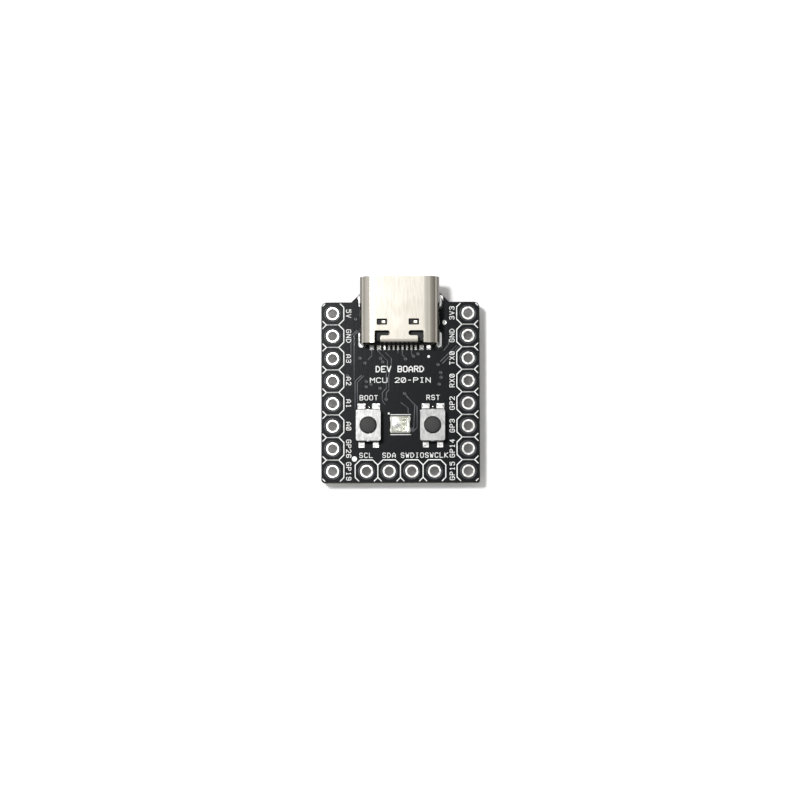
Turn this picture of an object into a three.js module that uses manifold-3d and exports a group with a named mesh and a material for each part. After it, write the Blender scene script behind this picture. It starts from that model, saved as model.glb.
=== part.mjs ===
// A small microcontroller development board: a circuit board with twenty header holes, a USB-C
// receptacle, two sprung push buttons and an addressable RGB LED on its upper side, and the
// microcontroller with its flash, crystal, regulator and chip parts on its underside.
// Millimetres, +Z up out of the upper side, +Y towards the receptacle's mouth.
import * as THREE from "three";
import { mergeVertices } from "three/addons/utils/BufferGeometryUtils.js";
import Module from "manifold-3d";

const wasm = await Module();
wasm.setup();

// ---------------------------------------------------------------- driving dimensions

const PITCH = 2.54; // between header holes
const SIDE_HOLES = 8;
const END_HOLES = 4;
const ROW_SPACING = 6 * PITCH; // between the two side rows
const EDGE_MARGIN = PITCH / 2; // hole centre to board edge
const HEADER_HOLE_R = 0.54;
const BOARD_THICKNESS = 1.6;
const STANDOFF = 1.1; // height of the tallest parts on the underside, which the board stands on

const BOARD_HALF_W = ROW_SPACING / 2 + EDGE_MARGIN;
const BOARD_HALF_L = ((SIDE_HOLES - 1) * PITCH) / 2 + EDGE_MARGIN;
const BOARD_BOTTOM = STANDOFF;
const BOARD_TOP = STANDOFF + BOARD_THICKNESS;

const USB_LENGTH = 7.35;
const USB_OVERHANG = 2.59; // mouth of the receptacle beyond the board's straight edge
const USB_FRONT = BOARD_HALF_L + USB_OVERHANG;
const USB_REAR = USB_FRONT - USB_LENGTH;
const SHELL_W = 8.94;
const SHELL_H = 3.16;
const SHELL_WALL = 0.3;
const SHELL_CORNER = 1.5;
const SHELL_LIFT = 0.1; // shell above the board
const SHELL_MID_Z = BOARD_TOP + SHELL_LIFT + SHELL_H / 2;
const STAKE_X = SHELL_W / 2 - SHELL_WALL / 2;
const FRONT_STAKE_Y = USB_FRONT - 2.6;
const REAR_STAKE_Y = USB_FRONT - 6.78;
const PEG_X = 2.89;
const PEG_Y = USB_FRONT - 6.28;
const TONGUE_HALF_W = 3.345;
const TONGUE_HALF_T = 0.35;
const TONGUE_TIP = USB_FRONT - 1.0;
const BLOCK_FRONT = USB_REAR + 2.5;

const BOOT_X = -3.55;
const RESET_X = 3.66;
const BUTTON_Y = -3.78;
const BUTTON_TRAVEL = 0.2;
const LED_Y = -3.66;

const ROUND_SEGMENTS = 32;

// ---------------------------------------------------------------- materials

const finish = (color, roughness, metalness) =>
  new THREE.MeshStandardMaterial({ color, roughness, metalness });

const SOLDER_MASK = finish(0x171a22, 0.45, 0.0);
const STEEL = finish(0xcfc9bf, 0.3, 1.0);
const BLACK_RESIN = finish(0x1c1c1e, 0.6, 0.0);
const GOLD_CONTACT = finish(0xd8b25a, 0.3, 1.0);
const TINNED = finish(0xd4d4d0, 0.35, 1.0);
const COVER_STEEL = finish(0xdcdcda, 0.4, 1.0);
const BUTTON_RUBBER = finish(0x3a3a3c, 0.75, 0.0);
const WHITE_RESIN = finish(0xe9e7da, 0.5, 0.0);
const CLEAR_RESIN = finish(0xeef0e0, 0.15, 0.0);
const SILICON = finish(0x6b6e78, 0.25, 0.4);
const CERAMIC = finish(0xa98a68, 0.6, 0.0);
const FERRITE = finish(0x3c3c40, 0.7, 0.0);
const EPOXY = finish(0x1a1a1c, 0.55, 0.0);

// ---------------------------------------------------------------- shape helpers

// A closed geometry as a manifold solid, with its shared vertices merged.
function solid(geometry) {
  const bare = geometry.index ? geometry.toNonIndexed() : geometry.clone();
  bare.deleteAttribute("normal");
  bare.deleteAttribute("uv");
  const merged = mergeVertices(bare, 1e-4);
  return new wasm.Manifold(
    new wasm.Mesh({
      numProp: 3,
      vertProperties: merged.attributes.position.array,
      triVerts: new Uint32Array(merged.index.array),
    }),
  );
}

// A manifold solid as a geometry that a mesh can hold.
function geometryOf(shape) {
  const found = shape.getMesh();
  const geometry = new THREE.BufferGeometry();
  geometry.setAttribute("position", new THREE.BufferAttribute(new Float32Array(found.vertProperties), 3));
  geometry.setIndex(new THREE.BufferAttribute(new Uint32Array(found.triVerts), 1));
  geometry.computeVertexNormals();
  return geometry;
}

const join = (...shapes) => shapes.reduce((all, next) => all.add(next));

// A block from its two limits on each axis.
function block([x0, x1], [y0, y1], [z0, z1]) {
  const box = new THREE.BoxGeometry(x1 - x0, y1 - y0, z1 - z0);
  return solid(box.translate((x0 + x1) / 2, (y0 + y1) / 2, (z0 + z1) / 2));
}

// An upright cylinder.
function post(x, y, radius, [z0, z1], segments = ROUND_SEGMENTS) {
  const cylinder = new THREE.CylinderGeometry(radius, radius, z1 - z0, segments);
  return solid(cylinder.rotateX(Math.PI / 2).translate(x, y, (z0 + z1) / 2));
}

function roundedRect(w, h, r, cx = 0, cy = 0) {
  const shape = new THREE.Shape();
  const right = cx + w / 2 - r;
  const left = cx - w / 2 + r;
  const top = cy + h / 2 - r;
  const bottom = cy - h / 2 + r;
  shape.absarc(right, bottom, r, -Math.PI / 2, 0);
  shape.absarc(right, top, r, 0, Math.PI / 2);
  shape.absarc(left, top, r, Math.PI / 2, Math.PI);
  shape.absarc(left, bottom, r, Math.PI, 1.5 * Math.PI);
  return shape;
}

// A shape drawn in X and Z, drawn out along Y.
function alongY(shape, [y0, y1], curveSegments = 5) {
  const drawn = new THREE.ExtrudeGeometry(shape, { depth: y1 - y0, bevelEnabled: false, curveSegments });
  return solid(drawn.rotateX(Math.PI / 2).translate(0, y1, 0));
}

// A shape drawn in Y and Z, drawn out along X.
function alongX(points, [x0, x1]) {
  const shape = new THREE.Shape(points.map(([y, z]) => new THREE.Vector2(y, z)));
  const drawn = new THREE.ExtrudeGeometry(shape, { depth: x1 - x0, bevelEnabled: false });
  return solid(drawn.rotateX(Math.PI / 2).rotateZ(Math.PI / 2).translate(x0, 0, 0));
}

// A shape drawn in X and Y, drawn out upwards.
function alongZ(shape, [z0, z1], curveSegments = 5) {
  const drawn = new THREE.ExtrudeGeometry(shape, { depth: z1 - z0, bevelEnabled: false, curveSegments });
  return solid(drawn.translate(0, 0, z0));
}

// A profile of radius and height, turned about the vertical through x, y.
function turned(points, x, y, segments = ROUND_SEGMENTS) {
  const profile = points.map(([r, z]) => new THREE.Vector2(r, z));
  const lathe = new THREE.LatheGeometry(profile, segments);
  return solid(lathe.rotateX(Math.PI / 2).translate(x, y, 0));
}

// ---------------------------------------------------------------- the assembly

// The board is drawn about its own centre; the row's origin is under the middle of the whole part.
const board = new THREE.Group();
board.position.y = -(USB_FRONT - BOARD_HALF_L) / 2;
const part = new THREE.Group();
part.add(board);

function place(name, shape, material) {
  const mesh = new THREE.Mesh(geometryOf(shape), material);
  mesh.name = name;
  board.add(mesh);
}

// ---------------------------------------------------------------- circuit board

// Centres of the twenty header holes: a row up each side and four along the end.
function headerHoles() {
  const firstY = BOARD_HALF_L - EDGE_MARGIN;
  const holes = [];
  for (let i = 0; i < SIDE_HOLES; i++) {
    holes.push([-ROW_SPACING / 2, firstY - i * PITCH], [ROW_SPACING / 2, firstY - i * PITCH]);
  }
  for (let i = 0; i < END_HOLES; i++) {
    holes.push([(i - (END_HOLES - 1) / 2) * PITCH, -firstY]);
  }
  return holes;
}

// The board has a tongue under the receptacle, with sloping shoulders, and rounded corners.
function boardOutline() {
  const far = 0.6; // corner radius beside the receptacle
  const near = 0.3; // corner radius at the other end
  const tongueReach = 1.15;
  const shoulder = 5.5;
  const w = BOARD_HALF_W;
  const l = BOARD_HALF_L;
  const shape = new THREE.Shape();
  shape.absarc(w - near, -l + near, near, -Math.PI / 2, 0);
  shape.absarc(w - far, l - far, far, 0, Math.PI / 2);
  shape.lineTo(shoulder, l);
  shape.lineTo(shoulder - tongueReach, l + tongueReach);
  shape.lineTo(-shoulder + tongueReach, l + tongueReach);
  shape.lineTo(-shoulder, l);
  shape.absarc(-w + far, l - far, far, Math.PI / 2, Math.PI);
  shape.absarc(-w + near, -l + near, near, Math.PI, 1.5 * Math.PI);
  return shape;
}

function circuitBoard() {
  const through = [BOARD_BOTTOM - 1, BOARD_TOP + 1];
  let shape = alongZ(boardOutline(), [BOARD_BOTTOM, BOARD_TOP], 3);
  for (const [x, y] of headerHoles()) {
    shape = shape.subtract(post(x, y, HEADER_HOLE_R, through, 16));
  }
  for (const side of [-1, 1]) {
    const x = side * STAKE_X;
    shape = shape.subtract(alongZ(roundedRect(0.6, 1.4, 0.29, x, FRONT_STAKE_Y), through, 3));
    shape = shape.subtract(alongZ(roundedRect(0.6, 1.7, 0.29, x, REAR_STAKE_Y), through, 3));
    shape = shape.subtract(post(side * PEG_X, PEG_Y, 0.325, through, 12));
  }
  place("circuit_board", shape, SOLDER_MASK);
}

// ---------------------------------------------------------------- USB-C receptacle

// The drawn steel shell, open at the mouth, with four stakes through the board.
function usbShell() {
  const z0 = SHELL_MID_Z - SHELL_H / 2;
  const top = [SHELL_MID_Z + SHELL_H / 2 - SHELL_WALL - 0.1, SHELL_MID_Z + SHELL_H / 2 + 0.1];
  const innerW = SHELL_W - 2 * SHELL_WALL;
  const innerH = SHELL_H - 2 * SHELL_WALL;
  const innerCorner = SHELL_CORNER - SHELL_WALL;
  const outer = alongY(roundedRect(SHELL_W, SHELL_H, SHELL_CORNER, 0, SHELL_MID_Z), [USB_REAR, USB_FRONT]);
  const inner = roundedRect(innerW, innerH, innerCorner, 0, SHELL_MID_Z);
  let shape = outer.subtract(alongY(inner, [USB_REAR - 1, USB_FRONT + 1]));
  // the floor is cut away at the rear, where the moulding reaches the board
  shape = shape.subtract(block([-3.6, 3.6], [USB_REAR - 1, USB_REAR + 1.85], [z0 - 1, z0 + SHELL_WALL + 0.4]));
  for (const side of [-1, 1]) {
    // latch windows, each with a pressed tab that slopes down from its right side
    const windowX = side < 0 ? -1.93 : 1.67;
    const windowY = USB_FRONT - 5.0;
    shape = shape.subtract(block([windowX - 0.55, windowX + 0.55], [windowY - 0.3, windowY + 0.3], top));
    const tab = new THREE.BoxGeometry(0.75, 0.42, 0.14).rotateY(-0.3);
    shape = shape.add(solid(tab.translate(windowX + 0.24, windowY, top[1] - 0.32)));
    // L-shaped slots that free the rear flap
    const leg = side < 0 ? [-2.7, -2.0] : [2.1, 2.75];
    const foot = side < 0 ? [-2.7, -1.1] : [1.15, 2.75];
    shape = shape.subtract(block(leg, [USB_REAR - 1, USB_REAR + 1.34], top));
    shape = shape.subtract(block(foot, [USB_REAR + 0.75, USB_REAR + 1.34], top));
    // stakes, drawn straight down from the widest line of the side walls
    const wall = side < 0 ? [-SHELL_W / 2, -SHELL_W / 2 + SHELL_WALL] : [SHELL_W / 2 - SHELL_WALL, SHELL_W / 2];
    const reach = [BOARD_BOTTOM - 0.25, SHELL_MID_Z];
    shape = shape.add(block(wall, [FRONT_STAKE_Y - 0.5, FRONT_STAKE_Y + 0.5], reach));
    shape = shape.add(block(wall, [REAR_STAKE_Y - 0.65, REAR_STAKE_Y + 0.65], reach));
  }
  // the rear flap, folded down over the back of the moulding
  const flapTop = SHELL_MID_Z + SHELL_H / 2 - 0.1;
  shape = shape.add(block([-1.9, 2.0], [USB_REAR, USB_REAR + 0.2], [BOARD_TOP + 1.2, flapTop]));
  place("usb_shell", shape, STEEL);
}

// Twelve stamped contacts. The four wide power contacts have a finger on both faces of the tongue;
// of the eight narrow signal contacts, every other one goes to the upper face.
function usbContacts() {
  const wide = [-3.2, -2.4, 2.4, 3.2].map((x) => ({ x, width: 0.25, upper: true, lower: true }));
  const narrow = [-1.75, -1.25, -0.75, -0.25, 0.25, 0.75, 1.25, 1.75].map((x) => {
    const upper = [0.25, 1.25].includes(Math.abs(x));
    return { x, width: 0.22, upper, lower: !upper };
  });
  const strip = 0.12; // thickness of the stamped strip
  const proud = 0.02; // finger above the tongue
  const footEnd = USB_REAR - 0.45;
  const riser = [USB_REAR + 0.65, USB_REAR + 0.65 + strip];
  const fingerEnd = TONGUE_TIP - 0.75;
  return [...wide, ...narrow]
    .sort((a, b) => a.x - b.x)
    .map(({ x, width, upper, lower }) => {
      const span = [x - width / 2, x + width / 2];
      const upperZ = [SHELL_MID_Z + TONGUE_HALF_T + proud - strip, SHELL_MID_Z + TONGUE_HALF_T + proud];
      const lowerZ = [SHELL_MID_Z - TONGUE_HALF_T - proud, SHELL_MID_Z - TONGUE_HALF_T - proud + strip];
      const height = upper ? upperZ[1] : lowerZ[1];
      const pieces = [
        block(span, [footEnd, riser[1]], [BOARD_TOP, BOARD_TOP + strip]),
        block(span, riser, [BOARD_TOP, height]),
      ];
      if (upper) pieces.push(block(span, [riser[0], fingerEnd], upperZ));
      if (lower) pieces.push(block(span, [riser[0], fingerEnd], lowerZ));
      return join(...pieces);
    });
}

// The steel plate in the middle of the tongue, which the plug's latches hold.
function midPlate() {
  const half = 0.075;
  const span = [-TONGUE_HALF_W - 0.15, TONGUE_HALF_W + 0.15];
  return block(span, [USB_REAR + 1.2, TONGUE_TIP - 0.35], [SHELL_MID_Z - half, SHELL_MID_Z + half]);
}

// The moulding: a block that fills the shell behind the cavity and is lower under the rear flap, a
// tongue with a collar, and two locating pegs.
function usbMoulding(contacts, plate) {
  const gap = 0.02;
  const w = SHELL_W - 2 * (SHELL_WALL + gap);
  const h = SHELL_H - 2 * (SHELL_WALL + gap);
  const section = roundedRect(w, h, SHELL_CORNER - SHELL_WALL - gap, 0, SHELL_MID_Z);
  const wing = [-TONGUE_HALF_W, TONGUE_HALF_W];
  let shape = join(
    alongY(section, [USB_REAR + 1.5, BLOCK_FRONT]),
    block([-3.5, 3.5], [USB_REAR + 0.22, USB_REAR + 1.75], [BOARD_TOP, SHELL_MID_Z]),
    block([-3.8, 3.8], [USB_REAR + 0.22, USB_REAR + 1.75], [SHELL_MID_Z - 0.3, SHELL_MID_Z + 0.7]),
    block([-3.5, 3.5], [USB_REAR - 0.12, USB_REAR + 0.5], [BOARD_TOP, BOARD_TOP + 0.5]),
    block(wing, [BLOCK_FRONT - 0.5, BLOCK_FRONT + 0.9], [SHELL_MID_Z - 0.6, SHELL_MID_Z + 0.6]),
    block(wing, [BLOCK_FRONT - 0.5, TONGUE_TIP], [SHELL_MID_Z - TONGUE_HALF_T, SHELL_MID_Z + TONGUE_HALF_T]),
  );
  for (const side of [-1, 1]) {
    shape = shape.add(post(side * PEG_X, PEG_Y, 0.26, [BOARD_TOP - 0.8, BOARD_TOP + 0.5], 12));
  }
  return [...contacts, plate].reduce((left, tool) => left.subtract(tool), shape);
}

function usbReceptacle() {
  const contacts = usbContacts();
  const plate = midPlate();
  usbShell();
  place("usb_moulding", usbMoulding(contacts, plate), BLACK_RESIN);
  place("usb_mid_plate", plate, STEEL);
  contacts.forEach((shape, i) => {
    place(`usb_contact_${String(i + 1).padStart(2, "0")}`, shape, GOLD_CONTACT);
  });
}

// ---------------------------------------------------------------- push buttons

// A stamped terminal pair: two feet on one side of the switch, joined by a bar in the moulded floor.
function terminalPair(x, y, side) {
  const plateZ = [BOARD_TOP + 0.22, BOARD_TOP + 0.34];
  const across = (a, b) => [y + Math.min(side * a, side * b), y + Math.max(side * a, side * b)];
  const pieces = [block([x - 1.1, x + 1.1], across(1.45, 1.65), plateZ)];
  for (const end of [-1, 1]) {
    const leg = [x + end * 0.8 - 0.32, x + end * 0.8 + 0.32];
    pieces.push(block(leg, across(1.45, 2.14), plateZ));
    pieces.push(block(leg, across(2.02, 2.14), [BOARD_TOP, plateZ[1]]));
    pieces.push(block(leg, across(2.02, 2.46), [BOARD_TOP, BOARD_TOP + 0.12]));
  }
  return join(...pieces);
}

// A low surface-mounted tactile switch: moulded base, two terminal pairs, snap dome, plunger and cover.
function pushButton(name, x, y) {
  const at = (z) => BOARD_TOP + z;
  const plateZ = [at(0.22), at(0.34)];
  const floor = at(0.4);
  const bump = 0.04; // centre contact above the floor
  const coverZ = [at(1.2), at(1.35)];
  const wellR = 1.12;

  const centre = join(
    terminalPair(x, y, 1),
    block([x - 0.2, x + 0.2], [y - 0.3, y + 1.65], plateZ),
    post(x, y, 0.3, [at(0.22), floor + bump], 16),
  );
  let ring = terminalPair(x, y, -1);
  for (const end of [-1, 1]) {
    const arm = [x + end * 0.95 - 0.1, x + end * 0.95 + 0.1];
    ring = join(ring, block(arm, [y - 1.65, y + 0.3], plateZ), block(arm, [y - 0.15, y + 0.15], [at(0.22), floor]));
  }
  const body = roundedRect(2.5, 3.7, 0.15, x, y);
  const base = alongZ(body, [at(0.05), coverZ[0]], 2).subtract(post(x, y, wellR, [floor, at(2)]));

  // the cover's side skirts fold down beside the base
  let cover = alongZ(roundedRect(2.78, 3.5, 0.25, x, y), coverZ, 2).subtract(post(x, y, 0.97, [at(1), at(2)]));
  for (const end of [-1, 1]) {
    const skirt = end < 0 ? [x - 1.39, x - 1.27] : [x + 1.27, x + 1.39];
    cover = cover.add(block(skirt, [y - 1.4, y + 1.4], [at(0.35), at(1.25)]));
  }

  // the snap dome: a thin cap whose rim stands on the floor, and whose crown meets the centre
  // contact when it is pressed
  const rimR = 1.06;
  const thickness = 0.08;
  const rise = BUTTON_TRAVEL + bump;
  const sphereR = (rimR * rimR + rise * rise) / (2 * rise);
  const arc = (lift) =>
    Array.from({ length: 7 }, (_, i) => {
      const angle = Math.asin(rimR / sphereR) * (i / 6);
      return [sphereR * Math.sin(angle), floor + rise - sphereR * (1 - Math.cos(angle)) + lift];
    });
  const dome = [...arc(0), ...arc(thickness).reverse()];

  // head above the cover, flange that it can't pass, and a nub that presses the dome
  const nub = floor + rise + thickness;
  const head = at(1.85);
  const profile = [
    [0, nub],
    [0.4, nub],
    [0.4, at(0.95)],
    [1.04, at(0.95)],
    [1.04, at(1.18)],
    [0.89, at(1.18)],
    [0.89, head - 0.12],
    [0.85, head - 0.03],
    [0.78, head],
    [0, head],
  ];

  place(`${name}_base`, base.subtract(centre).subtract(ring), BLACK_RESIN);
  place(`${name}_centre_contact`, centre, TINNED);
  place(`${name}_ring_contact`, ring, TINNED);
  place(`${name}_snap_dome`, turned(dome, x, y, 24), STEEL);
  place(`${name}_plunger`, turned(profile, x, y), BUTTON_RUBBER);
  place(`${name}_cover`, cover, COVER_STEEL);
}

// ---------------------------------------------------------------- addressable RGB LED

// A white carrier with a driver die and three emitter dies, under a block of clear resin.
function led() {
  const carrierTop = BOARD_TOP + 0.25;
  const dies = {
    led_driver_die: { x: -0.35, y: 0.1, w: 0.55, l: 0.8, h: 0.15 },
    led_red_die: { x: 0.4, y: 0.5, w: 0.22, l: 0.22, h: 0.12 },
    led_green_die: { x: 0.4, y: 0.0, w: 0.2, l: 0.3, h: 0.12 },
    led_blue_die: { x: 0.4, y: -0.5, w: 0.2, l: 0.3, h: 0.12 },
  };
  let lens = alongZ(roundedRect(2.0, 1.84, 0.06, 0, LED_Y), [carrierTop, BOARD_TOP + 0.78], 1);
  for (const [name, die] of Object.entries(dies)) {
    const x = [die.x - die.w / 2, die.x + die.w / 2];
    const y = [LED_Y + die.y - die.l / 2, LED_Y + die.y + die.l / 2];
    const shape = block(x, y, [carrierTop, carrierTop + die.h]);
    lens = lens.subtract(shape);
    place(name, shape, SILICON);
  }
  place("led_carrier", block([-1.08, 1.08], [LED_Y - 0.95, LED_Y + 0.95], [BOARD_TOP, carrierTop]), WHITE_RESIN);
  place("led_lens", lens, CLEAR_RESIN);
}

// ---------------------------------------------------------------- parts on the underside

// A block that hangs from the board's underside.
function hung(x, y, w, l, height) {
  return block([x - w / 2, x + w / 2], [y - l / 2, y + l / 2], [BOARD_BOTTOM - height, BOARD_BOTTOM]);
}

// A chip resistor, capacitor or fuse: a body between two slightly larger metal ends.
function chip(x, y, length, width, height, upright) {
  const end = length / 4;
  const slim = 0.03;
  const offset = (length - end) / 2;
  const size = (along, across) => (upright ? [across, along] : [along, across]);
  const pieces = [hung(x, y, ...size(length - end, width - 2 * slim), height - slim)];
  for (const side of [-1, 1]) {
    const shift = side * offset;
    pieces.push(hung(x + (upright ? 0 : shift), y + (upright ? shift : 0), ...size(end, width), height));
  }
  return join(...pieces);
}

// A row of gull-wing leads, each a strip that leaves the body and steps to the board.
function gullWing(x, y, width, bodyEdge, reach, side, midZ) {
  const t = 0.15;
  const outer = y + side * reach;
  const profile = [
    [y + side * (bodyEdge - 0.2), midZ],
    [outer - side * 0.4, midZ],
    [outer - side * 0.4, BOARD_BOTTOM - t],
    [outer, BOARD_BOTTOM - t],
    [outer, BOARD_BOTTOM],
    [outer - side * (0.4 + t), BOARD_BOTTOM],
    [outer - side * (0.4 + t), midZ + t],
    [y + side * (bodyEdge - 0.2), midZ + t],
  ];
  return alongX(profile, [x - width / 2, x + width / 2]);
}

function microcontroller() {
  const x = 0;
  const y = -0.6;
  const half = 3.5;
  const height = 0.85;
  const outline = new THREE.Shape([
    new THREE.Vector2(x - half, y - half),
    new THREE.Vector2(x + half, y - half),
    new THREE.Vector2(x + half, y + half),
    new THREE.Vector2(x - half, y + half),
  ]);
  const body = alongZ(outline, [BOARD_BOTTOM - height, BOARD_BOTTOM]);
  const mark = post(x - half + 0.8, y + half - 0.8, 0.3, [0, BOARD_BOTTOM - height + 0.06], 16);
  place("microcontroller", body.subtract(mark), EPOXY);
}

function crystal() {
  const x = 0;
  const y = -6.1;
  const base = 0.4;
  const lid = 0.25;
  place("crystal_base", hung(x, y, 3.2, 2.5, base), CERAMIC);
  const cap = block([x - 1.4, x + 1.4], [y - 1.05, y + 1.05], [BOARD_BOTTOM - base - lid, BOARD_BOTTOM - base]);
  place("crystal_lid", cap, STEEL);
}

// A five-lead regulator, which the board also stands on.
function regulator() {
  const x = 0;
  const y = 7.4;
  const body = block([x - 1.45, x + 1.45], [y - 0.8, y + 0.8], [0, STANDOFF - 0.1]);
  const south = [-0.95, 0, 0.95].map((dx) => gullWing(x + dx, y, 0.4, 0.8, 1.4, -1, 0.45));
  const north = [-0.95, 0.95].map((dx) => gullWing(x + dx, y, 0.4, 0.8, 1.4, 1, 0.45));
  place("regulator", join(body, ...south, ...north), EPOXY);
}

function diode() {
  const x = -5.2;
  const y = 3.0;
  const body = block([x - 0.8, x + 0.8], [y - 1.35, y + 1.35], [0, STANDOFF - 0.08]);
  const leads = [-1, 1].map((side) => gullWing(x, y, 0.6, 1.35, 1.85, side, 0.5));
  place("diode", join(body, ...leads), EPOXY);
}

function underside() {
  microcontroller();
  crystal();
  regulator();
  diode();
  place("flash_chip", hung(-5.2, -0.9, 2.0, 3.0, 0.55), EPOXY);
  place("inductor", chip(5.1, -5.4, 2.5, 2.0, STANDOFF, true), FERRITE);
  place("bulk_capacitor_1", chip(-5.0, -5.6, 2.0, 1.25, STANDOFF, true), CERAMIC);
  place("bulk_capacitor_2", chip(5.3, 3.0, 2.0, 1.25, STANDOFF, true), CERAMIC);
  place("fuse", chip(2.9, 4.0, 1.6, 0.8, 0.6, true), FERRITE);

  const capacitors = [
    [4.3, 1.3, false],
    [4.3, 0.4, false],
    [4.3, -0.5, false],
    [4.3, -1.4, false],
    [4.3, -2.3, false],
    [5.9, -0.2, true],
    [5.9, -1.6, true],
    [-2.3, -6.1, true],
    [2.3, -6.1, true],
    [-4.6, -3.4, false],
  ];
  capacitors.forEach(([x, y, upright], i) => {
    place(`capacitor_${String(i + 1).padStart(2, "0")}`, chip(x, y, 1.0, 0.5, 0.5, upright), CERAMIC);
  });

  const resistors = [
    [-0.45, 4.2, true],
    [0.45, 4.2, true],
    [-1.7, 4.2, true],
    [-2.6, 4.2, true],
    [-3.2, -6.1, true],
    [3.3, -6.1, true],
  ];
  resistors.forEach(([x, y, upright], i) => {
    place(`resistor_${i + 1}`, chip(x, y, 1.0, 0.5, 0.35, upright), EPOXY);
  });
}

circuitBoard();
usbReceptacle();
pushButton("boot_button", BOOT_X, BUTTON_Y);
pushButton("reset_button", RESET_X, BUTTON_Y);
led();
underside();

export default part;
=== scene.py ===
from math import atan2, copysign, cos, pi, radians, sin, tan

import bmesh
import bpy
from mathutils import Matrix, Vector


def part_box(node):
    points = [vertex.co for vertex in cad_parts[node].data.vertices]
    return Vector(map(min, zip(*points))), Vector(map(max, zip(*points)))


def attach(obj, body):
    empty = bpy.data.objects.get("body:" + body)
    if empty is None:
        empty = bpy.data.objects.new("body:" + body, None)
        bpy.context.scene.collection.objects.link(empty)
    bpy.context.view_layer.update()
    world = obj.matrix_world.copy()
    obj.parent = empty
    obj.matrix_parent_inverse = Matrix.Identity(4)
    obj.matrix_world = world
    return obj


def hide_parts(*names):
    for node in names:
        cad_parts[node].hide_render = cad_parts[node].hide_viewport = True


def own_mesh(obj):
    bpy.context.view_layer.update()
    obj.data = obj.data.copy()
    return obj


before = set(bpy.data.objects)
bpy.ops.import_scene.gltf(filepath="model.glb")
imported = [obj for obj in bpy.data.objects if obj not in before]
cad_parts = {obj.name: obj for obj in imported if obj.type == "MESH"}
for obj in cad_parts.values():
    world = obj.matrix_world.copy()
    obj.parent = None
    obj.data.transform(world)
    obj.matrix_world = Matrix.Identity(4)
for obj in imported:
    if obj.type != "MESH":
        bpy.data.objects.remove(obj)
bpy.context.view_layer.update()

# ---------------------------------------------------------------- camera
# The board is looked down on from almost straight above, a little from the end
# opposite the USB-C receptacle and a little from the right.

MM = 0.001
PITCH = 2.54
board_low, board_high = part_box("circuit_board")
HALF_L = 4 * PITCH
# shapes are drawn in millimetres about the middle of the hole grid, on the board's upper side
on_board = Matrix.Translation((0, board_low.y + HALF_L * MM, board_high.z)) @ Matrix.Scale(MM, 4)

view_distance = 0.4
view_width = 0.0898
lean_back, lean_right, roll = radians(4.5), radians(2.3), radians(0.10)
looked_at = on_board @ Vector((-0.04, -0.89, 0))
backwards = Vector((tan(lean_right), -tan(lean_back), 1)).normalized()
sideways = Vector((sin(roll), cos(roll), 0)).cross(backwards).normalized()
upwards = backwards.cross(sideways)
camera = bpy.data.objects.new("camera", bpy.data.cameras.new("camera"))
camera.data.sensor_width = 36
camera.data.lens = camera.data.sensor_width * view_distance / view_width
camera.data.clip_start = 0.01
camera.matrix_world = Matrix.Translation(looked_at + backwards * view_distance) @ Matrix(
    (sideways, upwards, backwards)).transposed().to_4x4()
bpy.context.collection.objects.link(camera)
bpy.context.scene.camera = camera

# ---------------------------------------------------------------- circuit board
# A glass-fibre laminate, 1.6 mm thick, routed to shape and coated with black solder mask on
# both faces. Its sawn edges show the bare brown laminate with its layers of glass cloth.

THICK = (board_high.z - board_low.z) / MM


def shader_of(name, roughness, metal=0.0, **sockets):
    """A new material, with what doesn't vary over it set on its shader."""
    made = bpy.data.materials.new(name)
    made.use_nodes = True
    shader = made.node_tree.nodes["Principled BSDF"]
    shader.inputs["Roughness"].default_value = roughness
    shader.inputs["Metallic"].default_value = metal
    for socket, value in sockets.items():
        shader.inputs[socket.replace("_", " ")].default_value = value
    return made, shader


def join(made, value, socket):
    """Links a socket to another one, or sets it to a plain value."""
    if isinstance(value, bpy.types.NodeSocket):
        made.node_tree.links.new(value, socket)
    else:
        socket.default_value = value


def node(made, kind, **values):
    """A node of a material. A key that opens with _ is a setting, and any other a socket."""
    new = made.node_tree.nodes.new("ShaderNode" + kind)
    for key, value in values.items():
        if key.startswith("_"):
            setattr(new, key[1:], value)
        else:
            join(made, value, new.inputs[key.replace("_", " ")])
    return new


def maths(made, operation, *values):
    """The result of a sum on sockets and plain numbers."""
    new = node(made, "Math", _operation=operation)
    for value, socket in zip(values, new.inputs):
        join(made, value, socket)
    return new.outputs[0]


def levelness(made):
    """1 where the surface looks straight up or down, and 0 on an upright side."""
    facing = node(made, "SeparateXYZ", Vector=node(made, "NewGeometry").outputs["Normal"])
    return maths(made, "ABSOLUTE", facing.outputs["Z"])


def cloudy(made, per_mm, detail=3.0, stretch=(1, 1, 1)):
    """A cloudy pattern fixed to the piece, with so many clouds in a millimetre."""
    place = node(made, "TexCoord")
    turned = node(made, "Mapping", Vector=place.outputs["Object"], Scale=stretch)
    return node(made, "TexNoise", Vector=turned.outputs[0], Scale=per_mm / MM, Detail=detail).outputs[0]


def between(made, pattern, dark, light, low=0.3, high=0.7):
    """A colour that runs from dark to light by a pattern."""
    ramp = node(made, "ValToRGB", Fac=pattern)
    for end, place, tint in zip(ramp.color_ramp.elements, (low, high), (dark, light)):
        end.position = place
        end.color = (*tint, 1)
    return ramp.outputs[0]


def mixed(made, share, first, second):
    """A colour that runs from the first to the second as the share goes from 0 to 1."""
    return node(made, "Mix", _data_type="RGBA", Factor=share, A=first, B=second).outputs["Result"]


def bumped(made, shader, pattern, depth_mm):
    """Raises the surface by a pattern."""
    bump = node(made, "Bump", Height=pattern, Distance=depth_mm * MM, Strength=1.0)
    join(made, bump.outputs[0], shader.inputs["Normal"])


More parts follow.
